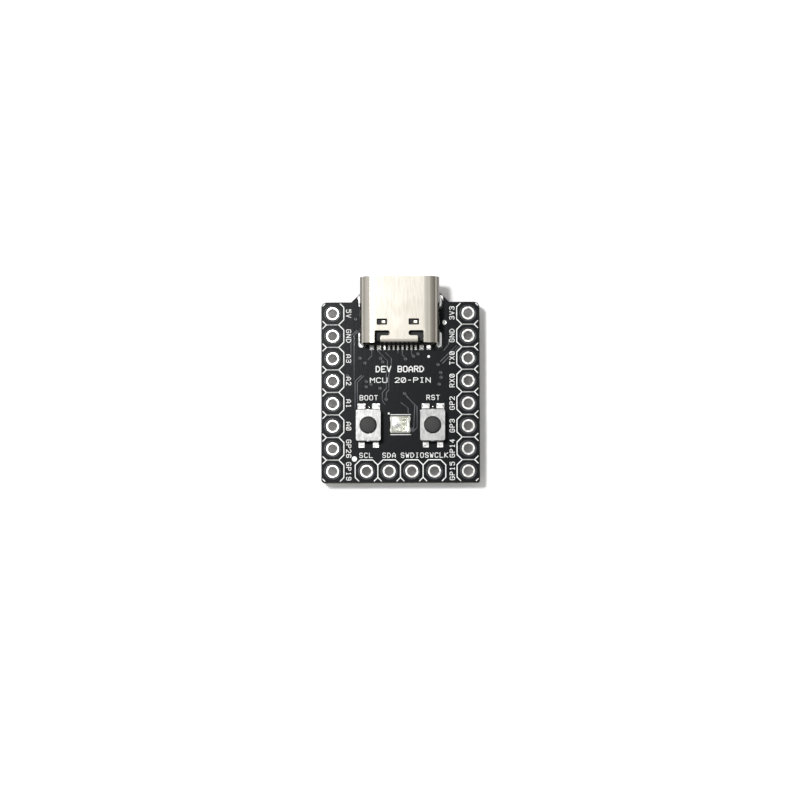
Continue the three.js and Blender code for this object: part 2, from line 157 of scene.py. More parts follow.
def solder_mask():
    """Glossy black mask on the faces, and bare laminate on the sawn edges."""
    made, shader = shader_of("black_solder_mask", 0.20, Specular_IOR_Level=0.09)
    peel = cloudy(made, 2.2, 2.0)
    place = node(made, "TexCoord").outputs["Object"]
    # woven glass cloth shows faintly through the mask
    threads = [node(made, "TexWave", Vector=place, Scale=0.62 / MM, Distortion=0.6,
                    _bands_direction=way).outputs["Fac"] for way in "XY"]
    weave = maths(made, "MULTIPLY", *threads)
    bumped(made, shader, maths(made, "MULTIPLY_ADD", weave, 0.25, peel), 0.003)
    face = between(made, peel, (0.0020, 0.0027, 0.0034), (0.0038, 0.0050, 0.0062), 0, 1)
    # the edges are layers of glass cloth in brown resin
    plies = node(made, "TexWave", Vector=place, Scale=2.0 / MM, Distortion=1.2, Detail=3.0,
                 Detail_Scale=2.0, _bands_direction="Z").outputs["Fac"]
    edge = between(made, plies, (0.034, 0.030, 0.020), (0.095, 0.084, 0.054), 0, 1)
    level = levelness(made)
    join(made, mixed(made, level, edge, face), shader.inputs["Base Color"])
    polish = node(made, "MapRange", Value=level, To_Min=0.75, To_Max=0.20)
    join(made, polish.outputs[0], shader.inputs["Roughness"])
    return made


def coat(name, made):
    """Gives a CAD node its finished material."""
    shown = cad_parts[name]
    shown.data.materials.clear()
    shown.data.materials.append(made)


mask = solder_mask()
coat("circuit_board", mask)

# ---------------------------------------------------------------- plated holes
# Twenty holes for pin headers, drilled at 2.54 mm: eight up each side and four along the end.
# Copper is plated through each one and coated with tin, with a ring on both faces.

hole_radius = 0.54
ring_radius = 0.74
plate = 0.025
rim_height, rim_round = 0.035, 0.02
copper_depth = 0.002
last_row = HALF_L - PITCH / 2
side_holes = [(side * 3 * PITCH, last_row - i * PITCH) for side in (-1, 1) for i in range(8)]
end_holes = [((i - 1.5) * PITCH, -last_row) for i in range(4)]


def tinted(made, shader, *colours):
    """Colours the material between two tints by a pattern."""
    join(made, between(made, *colours), shader.inputs["Base Color"])


def uneven(made, shader, pattern, smooth, rough):
    """Varies the roughness by a pattern."""
    spread = node(made, "MapRange", Value=pattern, From_Min=0.3, From_Max=0.7, To_Min=smooth, To_Max=rough)
    join(made, spread.outputs[0], shader.inputs["Roughness"])


def moulded(name, dark, light, roughness, per_mm, depth_mm, spread=0.08, metal=0.0, detail=5.0,
            stretch=(1, 1, 1), **sockets):
    """A moulded or fired surface whose tint, polish and grain waver together."""
    made, shader = shader_of(name, roughness, metal, **sockets)
    pattern = cloudy(made, per_mm, detail, stretch)
    tinted(made, shader, pattern, dark, light)
    uneven(made, shader, pattern, roughness - spread, roughness + spread)
    bumped(made, shader, pattern, depth_mm)
    return made


def metal_of(*values, **settings):
    """The same for a bare metal."""
    return moulded(*values, metal=1.0, detail=4.0, **settings)


def mesh_of(name, bm):
    """Ends a drawing and returns its mesh."""
    mesh = bpy.data.meshes.new(name)
    bm.to_mesh(mesh)
    bm.free()
    return mesh


def piece(name, bm, made, body="board", stands_for=(), angle=30):
    """Turns drawn millimetres into a piece of the board, riding on a body."""
    bmesh.ops.transform(bm, matrix=on_board, verts=bm.verts)
    mesh = mesh_of(name, bm)
    mesh.shade_smooth()
    mesh.set_sharp_from_angle(angle=radians(angle))
    for one in made if isinstance(made, (list, tuple)) else [made]:
        mesh.materials.append(one)
    shown = bpy.data.objects.new(name, mesh)
    bpy.context.collection.objects.link(shown)
    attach(shown, body)
    if stands_for:
        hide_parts(*stands_for)
    return shown


def revolved(bm, outline, x, y, steps=32, closed=True):
    """Spins an outline of (radius, height) about the upright line through x, y."""
    verts = [bm.verts.new((x + r, y, z)) for r, z in outline]
    edges = [bm.edges.new(pair) for pair in zip(verts, verts[1:])]
    if closed:
        edges.append(bm.edges.new((verts[-1], verts[0])))
    bmesh.ops.spin(bm, geom=verts + edges, cent=(x, y, 0), axis=(0, 0, 1), angle=2 * pi,
                   steps=steps, use_merge=True)
    bmesh.ops.remove_doubles(bm, verts=bm.verts, dist=1e-5)
    bmesh.ops.recalc_face_normals(bm, faces=bm.faces)


def add_copy(bm, mesh, matrix):
    """Adds a mesh to a drawing and returns its new vertices."""
    before = len(bm.verts)
    bm.from_mesh(mesh)
    bm.verts.ensure_lookup_table()
    added = bm.verts[before:]
    bmesh.ops.transform(bm, matrix=matrix, verts=added)
    return added


tin = metal_of("hot_tin_plating", (0.62, 0.615, 0.60), (0.78, 0.775, 0.76), 0.17, 4.0, 0.004, spread=0.05)
bore = hole_radius - plate
buried = hole_radius - 0.012
upper_half = [(buried, -copper_depth), (ring_radius, -copper_depth), (ring_radius, rim_height - rim_round),
              (ring_radius - rim_round, rim_height), (bore + rim_round, rim_height),
              (bore, rim_height - rim_round)]
one = bmesh.new()
revolved(one, [(r, -THICK - z) for r, z in reversed(upper_half)] + upper_half, 0, 0, 40)
one_barrel = mesh_of("one_barrel", one)
plating = bmesh.new()
for x, y in side_holes + end_holes:
    add_copy(plating, one_barrel, Matrix.Translation((x, y, 0)))
piece("header_plating", plating, tin)

# ---------------------------------------------------------------- masked copper
# Etched copper stands 0.02 mm proud under the mask: fine tracks, the rings round the header
# holes and the vias. A via is a plated hole whose mouth the mask closes.

track_width, track_height = 0.13, 0.022
# every line is drawn out of one flat-bottomed drop
line = bmesh.new()
bmesh.ops.create_uvsphere(line, u_segments=12, v_segments=6, radius=0.5)
bmesh.ops.bisect_plane(line, geom=line.verts[:] + line.edges[:] + line.faces[:], dist=1e-6,
                       plane_co=(0, 0, -0.1), plane_no=(0, 0, -1), clear_outer=True)
bmesh.ops.holes_fill(line, edges=[edge for edge in line.edges if edge.is_boundary])
drop = mesh_of("drop", line)


def stroke(bm, start, end, width, height, base=0.0, under=False):
    """A low rounded line from start to end: one drop, drawn out along its length."""
    start, end = Vector(start), Vector(end)
    reach = end - start
    squat = Matrix.Diagonal((width, width, 2 * height, 1))
    heading = Matrix.Rotation(atan2(reach.y, reach.x), 4, "Z")
    added = add_copy(bm, drop, squat)
    for vert in added:
        if vert.co.x > 1e-6:
            vert.co.x += reach.length
    flip = Matrix.Diagonal((1, 1, -1, 1)) if under else Matrix.Identity(4)
    spot = Matrix.Translation((start.x, start.y, base))
    bmesh.ops.transform(bm, matrix=spot @ flip @ heading, verts=added)
    if under:
        bmesh.ops.reverse_faces(bm, faces=list({face for vert in added for face in vert.link_faces}))


def route(bm, points, width, height, base=0.0, under=False):
    """A line of strokes through some points."""
    for start, end in zip(points, points[1:]):
        stroke(bm, start, end, width, height, base, under)


tracks = [
    [(-4.93, 6.94), (-5.54, 6.36), (-5.54, 3.15)],
    [(-4.71, 6.94), (-5.19, 6.44), (-5.19, 1.40)],
    [(-4.35, 1.91), (-5.08, 1.25), (-5.08, -2.03)],
    [(-4.13, 1.84), (-4.82, 1.11), (-4.82, -1.23)],
    [(-2.53, 4.68), (-1.43, 3.51), (-1.43, 2.86), (-1.58, 1.98), (-1.58, 0.45), (-2.02, -0.06),
     (-2.02, -0.94), (-1.73, -1.38)],
    [(-1.65, 4.47), (-1.0, 3.81), (-1.0, 2.86), (-1.29, 1.98), (-1.29, 0.23), (-1.58, -0.06),
     (-1.58, -0.80)],
    [(0.49, -0.17), (1.62, -1.5), (1.49, -4.06), (1.31, -4.19)],
    [(0.71, -0.5), (1.88, -1.63), (1.88, -4.01), (1.36, -4.49)],
    [(0.1, -1.2), (0.88, -1.81), (0.88, -2.49)],
    [(4.54, 3.45), (6.29, 5.20)],
    [(4.76, 3.22), (6.73, 5.27)],
    [(4.9, 4.7), (5.46, 5.38), (5.46, 5.9)],
    [(0.25, 4.7), (0.25, 4.2), (0.6, 3.85)],
    [(1.25, 4.7), (1.25, 4.35), (1.5, 4.1)],
    [(-0.25, 4.7), (-0.25, 4.45)],
    [(-3.2, 4.7), (-3.2, 4.1), (-3.6, 3.7)],
]
vias = [(-4.51, 3.86), (-3.95, 3.3), (-2.18, 3.82), (-1.96, 3.43), (-3.82, 1.22), (-3.82, 0.62),
        (-3.3, 0.9), (-2.27, 0.45), (4.25, 3.09), (4.55, 2.18), (4.6, 1.65), (4.38, 0.88), (0.49, -0.17),
        (-1.58, -0.80), (1.31, -4.19), (-5.0, 8.26), (0.6, 3.75), (1.5, 4.05), (-5.9, 1.9), (2.0, 4.3)]
copper = bmesh.new()
for points in tracks:
    route(copper, points, track_width, track_height)
rings = bmesh.new()
ring_outline = [(0.78, -copper_depth), (0.99, -copper_depth), (0.97, 0.018), (0.80, 0.018)]
via_outline = [(0, -copper_depth), (0.24, -copper_depth), (0.21, 0.02), (0.12, 0.022), (0.05, 0.006),
               (0, 0.003)]
for x, y in side_holes + end_holes:
    revolved(rings, ring_outline, x, y, 32)
for x, y in vias:
    revolved(rings, via_outline, x, y, 16, closed=False)
mask_over_copper = moulded("mask_over_copper", (0.024, 0.027, 0.033), (0.048, 0.052, 0.062), 0.36, 3.0,
                           0.002, spread=0.05, Specular_IOR_Level=0.3)
piece("masked_tracks", copper, mask_over_copper, angle=50)
mask_over_rings = moulded("mask_over_rings", (0.005, 0.006, 0.008), (0.014, 0.016, 0.020), 0.34, 3.0,
                          0.002, spread=0.05, Specular_IOR_Level=0.25)
piece("masked_rings", rings, mask_over_rings, angle=50)

# ---------------------------------------------------------------- printed legend
# White ink, screen-printed over the mask: an eight-sided frame round each hole, the names
# of the pins and buttons, and the marks for the LED and the first pins.

ink_height = 0.032
pen_width = 0.088
frame_width = 0.125
# each letter's strokes, as points counted across and up on a grid of four by six
GLYPHS = {
    "0": "10 30 41 45 36 16 05 01 10,11 35", "1": "15 26 20,10 30", "2": "05 16 36 45 44 00 40",
    "3": "05 16 36 45 44 33 13,33 42 41 30 10 01", "4": "30 36 02 42", "5": "46 06 04 34 43 41 30 10 01",
    "6": "45 36 16 05 01 10 30 41 42 33 03", "9": "01 10 30 41 45 36 16 05 04 13 43",
    "A": "00 04 26 44 40,02 42", "B": "00 06 36 45 44 33 03,33 42 41 30 00",
    "C": "45 36 16 05 01 10 30 41", "D": "00 06 26 44 42 20 00", "E": "46 06 00 40,03 33",
    "G": "45 36 16 05 01 10 30 41 43 23", "I": "10 30,20 26,16 36", "K": "00 06,46 03 40",
    "L": "06 00 40", "M": "00 06 23 46 40", "N": "00 06 40 46", "O": "10 30 41 45 36 16 05 01 10",
    "P": "00 06 36 45 44 33 03", "R": "00 06 36 45 44 33 03,23 40",
    "S": "01 10 30 41 42 33 13 04 05 16 36 45", "T": "20 26,06 46", "U": "06 01 10 30 41 46",
    "V": "06 20 46", "W": "06 10 24 30 46", "X": "00 46,06 40", "-": "13 33", "Y": "06 23 46,23 20",
}
letter_gap = 0.205


def lettering(bm, text, x, y, turn=0, size=0.51, width=0.34, pen=pen_width, under=False):
    """Writes a word centred on a point, on a grid four units wide and six high."""
    unit = size / 6
    across = width / 4
    advance = width + letter_gap
    heading = Matrix.Rotation(radians(turn), 2)
    left = -advance * (len(text) - 1) / 2
    for i, letter in enumerate(text):
        for path in GLYPHS.get(letter, "").split(","):
            points = []
            for spot in path.split():
                local = Vector((left + i * advance + (int(spot[0]) - 2) * across, (int(spot[1]) - 3) * unit))
                if under:
                    local.x = -local.x
                points.append(Vector((x, y)) + heading @ local)
            route(bm, points, pen, ink_height, -THICK if under else 0.0, under=under)


def frames(bm, base=0.0, under=False):
    """Eight-sided frames round the holes, cut short where the board ends."""
    apothem = PITCH / 2
    # the level and upright sides are a little longer than the slanting ones
    half = apothem * tan(pi / 8) + 0.17
    # a frame goes this far towards the board's edge, and its slanting side is cut there
    reach = 1.09
    cut = apothem + half - reach

    def draw(x, y, corners):
        points = [(x + along, y + up) for along, up in corners]
        route(bm, points, frame_width, ink_height, base, under=under)

    for x, y in side_holes:
        way = 1 if x < 0 else -1
        for up in (-1, 1):
            draw(x, y, [(way * apothem, 0), (way * apothem, up * half)])
            if abs(y + up * apothem) > HALF_L - 0.1:
                draw(x, y, [(way * apothem, up * half), (way * cut, up * reach)])
                draw(x, y, [(-way * cut, up * reach), (-way * reach, up * cut)])
            else:
                draw(x, y, [(way * apothem, up * half), (way * half, up * apothem),
                            (-way * half, up * apothem), (-way * reach, up * cut)])
    for x, y in end_holes:
        draw(x, y, [(cut, -reach), (apothem, -half), (apothem, half), (half, apothem), (-half, apothem),
                    (-apothem, half), (-apothem, -half), (-cut, -reach)])


legend = bmesh.new()
frames(legend)
pin_names = {-1: "5V GND A3 A2 A1 A0 GP26 GP19", 1: "3V3 GND TX0 RX0 GP2 GP3 GP14 GP15"}
for side, names in pin_names.items():
    for i, word in enumerate(names.split()):
        lettering(legend, word, side * 5.81, last_row - i * PITCH, turn=side * 90)
for word, x in (("SCL", -3.87), ("SDA", -1.28), ("SWDIO", 1.33), ("SWCLK", 4.05)):
    lettering(legend, word, x, -7.1)
lettering(legend, "BOOT", -3.55, -0.62)
lettering(legend, "RST", 3.68, -0.62)
lettering(legend, "DEV BOARD", -0.05, 2.6, size=0.62, width=0.41, pen=0.13)
lettering(legend, "MCU 20-PIN", 0, 1.35, size=0.52, width=0.49, pen=0.10)
for y in (-2.54, -4.79):
    stroke(legend, (-1.08, y), (1.14, y), 0.10, ink_height)
for x, y, radius in ((-1.30, -2.40, 0.12), (3.19, 4.0, 0.16), (-5.17, -7.5, 0.3)):
    stroke(legend, (x, y), (x + 0.001, y), 2 * radius, ink_height)
ink, shader = shader_of("white_legend_ink", 0.55)
cover = cloudy(ink, 14.0, 4.0)
tinted(ink, shader, cover, (0.42, 0.43, 0.45), (0.80, 0.80, 0.79), 0.28, 0.5)
uneven(ink, shader, cover, 0.45, 0.65)
bumped(ink, shader, cover, 0.003)
piece("legend", legend, ink, angle=60)

# ---------------------------------------------------------------- USB-C shell
# One sheet of 0.3 mm stainless steel, cut flat with its windows, slots and flap and then
# wrapped into a tube. Its satin surface shows the fine lines of rolling along its length.

shell_sheet = 0.3
shell_height = 3.16
shell_corner = 1.35
# the cuts in its top: distances from the middle, and then from the rear
slot_tip, flap_edge, slot_side = 1.06, 2.1, 2.74
windows = {-1: (1.33, 2.5), 1: (1.06, 2.25)}
flap_start, slot_near, slot_far = 0.32, 0.77, 1.34
window_near, window_far = 1.97, 2.66


def extent(name):
    """A CAD node's lowest and highest corners, in drawn millimetres."""
    low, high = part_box(name)
    return on_board.inverted() @ low, on_board.inverted() @ high


def softened(shown, width):
    """Rounds a piece's sharp edges."""
    rounding = shown.modifiers.new("rounding", "BEVEL")
    rounding.width = width * MM
    rounding.segments = 2
    rounding.limit_method = "ANGLE"
    rounding.angle_limit = radians(40)
    rounding.harden_normals = True


def drawn_out(bm, edges, step):
    """Draws a run of edges out by a step, and returns the new run."""
    grown = bmesh.ops.extrude_edge_only(bm, edges=edges)["geom"]
    moved = [item for item in grown if isinstance(item, bmesh.types.BMVert)]
    bmesh.ops.translate(bm, verts=moved, vec=step)
    return [item for item in grown if isinstance(item, bmesh.types.BMEdge)]


def inside(point, x0, x1, near, far):
    """Whether a point lies between two distances from the middle and two from the rear."""
    return x0 < abs(point.x) < x1 and near < point.y - rear < far


def round_corners(bm, places, radius):
    """Rounds the corners of the cuts, each at a distance from the middle and from the rear."""
    corners = [v for v in bm.verts if v.is_boundary and len(v.link_faces) in (1, 3) and any(
        abs(abs(v.co.x) - x) < 1e-3 and abs(v.co.y - rear - y) < 1e-3 for x, y in places)]
    corners = [v for v in corners if v.co.z > upper - 0.01]
    bmesh.ops.bevel(bm, geom=corners, offset=radius, offset_type="OFFSET", segments=4, profile=0.5,
                    affect="VERTICES", material=-1)


shell_low, shell_high = extent("usb_shell")
rear, mouth = shell_low.y, shell_high.y
half_width = shell_high.x - shell_sheet / 2
upper = shell_high.z - shell_sheet / 2
lower = shell_high.z - shell_height + shell_sheet / 2
flat = half_width - shell_corner
right_half = [(x, upper) for x in sorted({0.55, slot_tip, flap_edge, slot_side, *windows[-1], *windows[1]})]
for step in range(9):
    turn = step / 8 * pi / 2
    right_half.append((flat + shell_corner * sin(turn), upper - shell_corner * (1 - cos(turn))))
right_half += [(x, lower + upper - z) for x, z in reversed(right_half)]
section = right_half + [(-x, z) for x, z in reversed(right_half)]

shell = bmesh.new()
ring = [shell.verts.new((x, rear, z)) for x, z in section]
edges = [shell.edges.new(pair) for pair in zip(ring, ring[1:] + ring[:1])]
floor_far = 1.85
stations = [0, flap_start, 0.42, slot_near, slot_far, floor_far, window_near, window_far, 4.2, 5.8,
            mouth - rear]
for last, station in zip(stations, stations[1:]):
    edges = drawn_out(shell, edges, (0, station - last, 0))
removed = []
for face in shell.faces:
    middle = face.calc_center_median()
    leg = inside(middle, flap_edge, slot_side, 0, slot_far)
    foot = inside(middle, slot_tip, slot_side, slot_near, slot_far)
    window = inside(middle, *windows[-1 if middle.x < 0 else 1], window_near, window_far)
    flap_end = inside(middle, -1, flap_edge, 0, flap_start)
    floor_cut = middle.z < lower + 0.01 and middle.y < rear + floor_far
    if floor_cut or middle.z > upper - 0.01 and (leg or foot or window or flap_end):
        removed.append(face)
bmesh.ops.delete(shell, geom=removed, context="FACES")
round_corners(shell, [(slot_tip, slot_near), (slot_tip, slot_far)], 0.25)
round_corners(shell, [(slot_side, slot_far), (flap_edge, slot_near)], 0.15)
round_corners(shell, [(x, y) for x in (*windows[-1], *windows[1]) for y in (window_near, window_far)], 0.1)

# the flap between the slots is bent down behind the moulding
edges = [e for e in shell.edges if e.is_boundary and all(
    abs(v.co.y - rear - flap_start) < 1e-3 and v.co.z > upper - 0.01 and abs(v.co.x) < flap_edge + 0.03
    for v in e.verts)]
bend = 0.165
flap_path = [(bend * sin(turn), bend * (1 - cos(turn))) for turn in (0, pi / 8, pi / 4, 3 * pi / 8, pi / 2)]
flap_path += [(bend, 0.4), (bend - 0.03, 1.0), (bend - 0.06, 1.65)]
for last, point in zip(flap_path, flap_path[1:]):
    edges = drawn_out(shell, edges, (0, last[0] - point[0], last[1] - point[1]))
bmesh.ops.recalc_face_normals(shell, faces=shell.faces)

satin_steel, shader = shader_of("satin_shell_steel", 0.14, 1.0)
rolled = cloudy(satin_steel, 16.0, 3.0, stretch=(1, 0.04, 1))
blotch = cloudy(satin_steel, 0.35, 2.0)
polished = between(satin_steel, blotch, (0.655, 0.615, 0.54), (0.71, 0.67, 0.60))
# painted shade: the base colour is darkened where the sheet faces sideways round its bends, standing in for
# the darker surroundings that the curved sides reflect
painted_side_shade = node(satin_steel, "MapRange", Value=levelness(satin_steel), From_Min=0.5, From_Max=0.8).outputs[0]
steel = mixed(satin_steel, painted_side_shade, (0.11, 0.102, 0.087, 1), polished)
join(satin_steel, steel, shader.inputs["Base Color"])
uneven(satin_steel, shader, rolled, 0.12, 0.145)
bumped(satin_steel, shader, rolled, 0.0002)
shell_piece = piece("usb_shell_sheet", shell, satin_steel, stands_for=["usb_shell"])
thickness = shell_piece.modifiers.new("sheet", "SOLIDIFY")
thickness.thickness = shell_sheet * MM
thickness.offset = 0
thickness.use_even_offset = True
softened(shell_piece, 0.045)

# ---------------------------------------------------------------- USB-C stakes and latch tabs
# Four stakes of the same sheet pass through slots in the board and are soldered there. In
# each window of the shell a tongue is pressed inwards, which holds the plug.


def block(bm, low, high, edge=0.03, segments=2, made=0):
    """A block between two corners, with its edges rounded."""
    low, high = Vector(low), Vector(high)
    spot = Matrix.Translation((low + high) / 2) @ Matrix.Diagonal((*(high - low), 1))
    new = bmesh.ops.create_cube(bm, size=1, matrix=spot)["verts"]
    edges = list({e for vert in new for e in vert.link_edges})
    faces = {f for vert in new for f in vert.link_faces}
    rounded = bmesh.ops.bevel(bm, geom=edges, offset=edge, offset_type="OFFSET", segments=segments,
                              profile=0.5, affect="EDGES", material=-1)
    faces = {f for f in faces if f.is_valid} | set(rounded["faces"])
    new = list({v for f in faces for v in f.verts})
    for face in faces:
        face.material_index = made
    return new


stakes = bmesh.new()
front_stake, rear_stake = mouth - 2.6, mouth - 6.78
for side in (-1, 1):
    x = sorted((side * shell_high.x, side * (shell_high.x - shell_sheet)))
    for y, half in ((front_stake, 0.5), (rear_stake, 0.65)):
        block(stakes, (x[0], y - half, -0.1), (x[1], y + half, upper - shell_corner - 0.05), 0.04)
        slim = 0.8 * half
        block(stakes, (x[0] + 0.02, y - slim, shell_low.z), (x[1] - 0.02, y + slim, 0), 0.06)
# a tab lies just under the sheet and dips towards its tip
for side in (-1, 1):
    tab = block(stakes, (-0.26, -0.2, -0.07), (0.26, 0.2, 0.07), 0.06, 3)
    x = side * sum(windows[side]) / 2 + 0.16
    spot = Matrix.Translation((x, rear + 2.31, upper - 0.12)) @ Matrix.Rotation(-0.12, 4, "Y")
    bmesh.ops.transform(stakes, matrix=spot, verts=tab)
piece("usb_stakes_and_tabs", stakes, satin_steel)

# ---------------------------------------------------------------- USB-C moulding and contacts
# A black nylon moulding fills the rear of the shell and carries the tongue, with a steel
# plate in its middle and twelve stamped contacts, gold at the mouth and tinned at the feet.

black_nylon = moulded("black_nylon", (0.006, 0.006, 0.007), (0.014, 0.014, 0.015), 0.5, 6.0, 0.004,
                      Specular_IOR_Level=0.15)
coat("usb_moulding", black_nylon)
plate_steel = metal_of("bare_plate_steel", (0.50, 0.50, 0.50), (0.62, 0.62, 0.60), 0.3, 8.0, 0.002)
coat("usb_mid_plate", plate_steel)

# a contact is gold-plated from a line under the rear of the shell to its tip
contact_metal, shader = shader_of("gold_and_tin_contacts", 0.25, 1.0)
spot = node(contact_metal, "SeparateXYZ", Vector=node(contact_metal, "TexCoord").outputs["Object"])
plated_from = (on_board @ Vector((0, rear + 1.5, 0))).y
share = node(contact_metal, "MapRange", Value=spot.outputs["Y"], From_Min=plated_from,
             From_Max=plated_from + 0.2 * MM)
# the tinned feet are painted darker than the other tin: painted shade for the dark shell and moulding that
# they reflect and that shadow them
plated = mixed(contact_metal, share.outputs[0], (0.46, 0.45, 0.43, 1), (0.86, 0.63, 0.26, 1))
join(contact_metal, plated, shader.inputs["Base Color"])
grain = cloudy(contact_metal, 9.0, 4.0)
uneven(contact_metal, shader, grain, 0.18, 0.36)
bumped(contact_metal, shader, grain, 0.002)
contacts = [f"usb_contact_{i:02d}" for i in range(1, 13)]
for name in contacts:
    coat(name, contact_metal)

# ---------------------------------------------------------------- pads and solder, upper side
# Every foot stands on a tinned copper pad, and reflowed solder climbs its sides in a bright
# hollow fillet.

bright_solder = metal_of("reflowed_solder", (0.70, 0.70, 0.69), (0.86, 0.86, 0.85), 0.13, 3.0, 0.004,
                         spread=0.05)
pad_height = 0.03
hollow = [(0, 0), (0.5, 0), (0.49, 0.10), (0.42, 0.26), (0.34, 0.55), (0.28, 1.0), (0, 1.0)]
one = bmesh.new()
revolved(one, hollow, 0, 0, 20, closed=False)
one_fillet = mesh_of("one_fillet", one)


def fillet(bm, x, y, width, length, height, base=0.0, under=False):
    """A fillet of solder round a foot, drawn out along the longer side of its pad."""
    upright = length >= width
    narrow, long = (width, length) if upright else (length, width)
    added = add_copy(bm, one_fillet, Matrix.Diagonal((narrow, narrow, height, 1)))
    for vert in added:
        if abs(vert.co.x) > 1e-6:
            vert.co.x += copysign((long - narrow) / 2, vert.co.x)
    flip = Matrix.Rotation(pi, 4, "X") if under else Matrix.Identity(4)
    heading = Matrix.Rotation(pi / 2 if upright else 0, 4, "Z")
    bmesh.ops.transform(bm, matrix=Matrix.Translation((x, y, base)) @ heading @ flip, verts=added)


def pad(bm, x, y, width, length, under=False):
    """A tinned copper pad."""
    z = (-THICK - pad_height, -THICK + copper_depth) if under else (-copper_depth, pad_height)
    block(bm, (x - width / 2, y - length / 2, z[0]), (x + width / 2, y + length / 2, z[1]), 0.012, 1)


pads = bmesh.new()
solder = bmesh.new()
for name in contacts:
    low, high = extent(name)
    x = (low.x + high.x) / 2
    pad_width = 0.3 if abs(x) < 2 else 0.6
    pad(pads, x, rear - 0.27, pad_width * 0.8, 0.6)
    fillet(solder, x, rear - 0.42, pad_width * 0.75, 0.26, 0.13, pad_height - 0.01)
for side in (-1, 1):
    for y, length in ((front_stake, 1.7), (rear_stake - 0.12, 2.2)):
        x = side * (shell_high.x - shell_sheet / 2)
        fillet(solder, x + side * 0.06, y, 1.05, length, 0.5)
        fillet(solder, x, y, 1.0, length, 0.35, -THICK, under=True)
# a round test pad beside the shell carries a drop of solder
solder_drop = [(0, 0.04), (0.07, 0.05), (0.15, 0.13), (0.22, 0.13), (0.3, 0.06), (0.33, 0)]
revolved(solder, solder_drop, 4.96, 7.83, 24, closed=False)
piece("usb_pads", pads, tin)
piece("usb_solder", solder, bright_solder, angle=60)

# ---------------------------------------------------------------- push buttons
# Two low tactile switches. A stamped steel cover with folded skirts clips over a black
# moulded base and holds down a dark round plunger. A steel snap dome under the plunger
# springs it back, and the four feet belong to two stamped contacts in the base.

cover_steel = metal_of("matt_cover_steel", (0.36, 0.36, 0.355), (0.44, 0.44, 0.435), 0.165, 9.0, 0.001,
                       stretch=(1, 0.25, 1), spread=0.025)
plunger_resin = moulded("dark_plunger_resin", (0.011, 0.011, 0.011), (0.026, 0.026, 0.026), 0.6, 9.0,
                        0.006, Specular_IOR_Level=0.3)
dome_steel = metal_of("spring_steel", (0.66, 0.65, 0.62), (0.76, 0.75, 0.72), 0.22, 5.0, 0.001)


def circle(bm, radius, z, segments=32):
    """A level circle about the origin, with two of its sides facing along each axis."""
    spot = Matrix.Translation((0, 0, z)) @ Matrix.Rotation(pi / segments, 4, "Z")
    return bmesh.ops.create_circle(bm, segments=segments, radius=radius, matrix=spot)["verts"]


def squared(bm, half_x, half_y, corner, z, segments=32):
    """A loop of a rounded rectangle: a circle whose quarters are moved apart."""
    new = circle(bm, corner, z, segments)
    for vert in new:
        vert.co.x += copysign(half_x - corner, vert.co.x)
        vert.co.y += copysign(half_y - corner, vert.co.y)
    return new


def loop_edges(verts):
    return list({e for v in verts for e in v.link_edges})


def switch_cover(name, middle):
    """A pressed plate with a round hole, a skirt down each side and a clip at each end."""
    gauge, hole_across = 0.15, 1.94
    low, high = extent(name + "_cover")
    half_x, half_y = (high.x - low.x) / 2, (high.y - low.y) / 2
    cover = bmesh.new()
    outline = squared(cover, half_x, half_y, 0.22, high.z)
    hole = circle(cover, hole_across / 2, high.z)
    bmesh.ops.bridge_loops(cover, edges=loop_edges(outline) + loop_edges(hole))
    grown = bmesh.ops.extrude_face_region(cover, geom=cover.faces[:])["geom"]
    sunk = [item for item in grown if isinstance(item, bmesh.types.BMVert)]
    bmesh.ops.translate(cover, verts=sunk, vec=(0, 0, -gauge))
    bmesh.ops.recalc_face_normals(cover, faces=cover.faces)
    for side in (-1, 1):
        x = sorted((side * half_x, side * (half_x - 0.12)))
        block(cover, (x[0], -1.36, low.z), (x[1], 1.36, high.z - 0.06), 0.03)
        y = sorted((side * half_y, side * (half_y + 0.06)))
        block(cover, (-0.2, y[0] - 0.03, low.z + 0.35), (0.2, y[1], high.z - 0.04), 0.02)
    bmesh.ops.translate(cover, verts=cover.verts, vec=(middle.x, middle.y, 0))
    softened(piece(name + "_pressed_cover", cover, cover_steel,
                   stands_for=[name + "_cover"]), 0.035)


def switch_base(name, middle):
    """A moulded block with a round well, in which the dome lies."""
    well_radius, well_floor = 1.12, 0.4
    low, high = extent(name + "_base")
    base = bmesh.new()
    outline = loop_edges(squared(base, (high.x - low.x) / 2, (high.y - low.y) / 2, 0.15, high.z))
    well = loop_edges(circle(base, well_radius, high.z))
    bmesh.ops.bridge_loops(base, edges=outline + well)
    for edges, drop_to in ((well, well_floor), (outline, low.z)):
        ends = drawn_out(base, edges, (0, 0, drop_to - high.z))
        bmesh.ops.contextual_create(base, geom=[e for e in ends if e.is_boundary])
    bmesh.ops.recalc_face_normals(base, faces=base.faces)
    bmesh.ops.translate(base, verts=base.verts, vec=(middle.x, middle.y, 0))
    softened(piece(name + "_moulded_base", base, black_nylon,
                   stands_for=[name + "_base"]), 0.04)


def switch_plunger(name, middle, body):
    """A stem on a flange, whose crown is slightly domed and has a rounded rim."""
    low, high = extent(name + "_plunger")
    bottom, top = low.z, high.z
    outline = [(0, bottom), (0.36, bottom), (0.4, bottom + 0.04), (0.4, 0.95), (1.02, 0.95), (1.04, 0.97),
               (1.04, 1.15), (1.02, 1.17), (0.89, 1.18), (0.89, top - 0.16)]
    outline += [(0.79 + 0.1 * cos(a), top - 0.16 + 0.12 * sin(a)) for a in (0.4, 0.8, 1.2, pi / 2)]
    outline += [(0.5, top - 0.015), (0.25, top - 0.003), (0, top)]
    plunger = bmesh.new()
    revolved(plunger, outline, middle.x, middle.y, 48, closed=False)
    piece(name + "_moulded_plunger", plunger, plunger_resin, body=body,
          stands_for=[name + "_plunger"], angle=40)


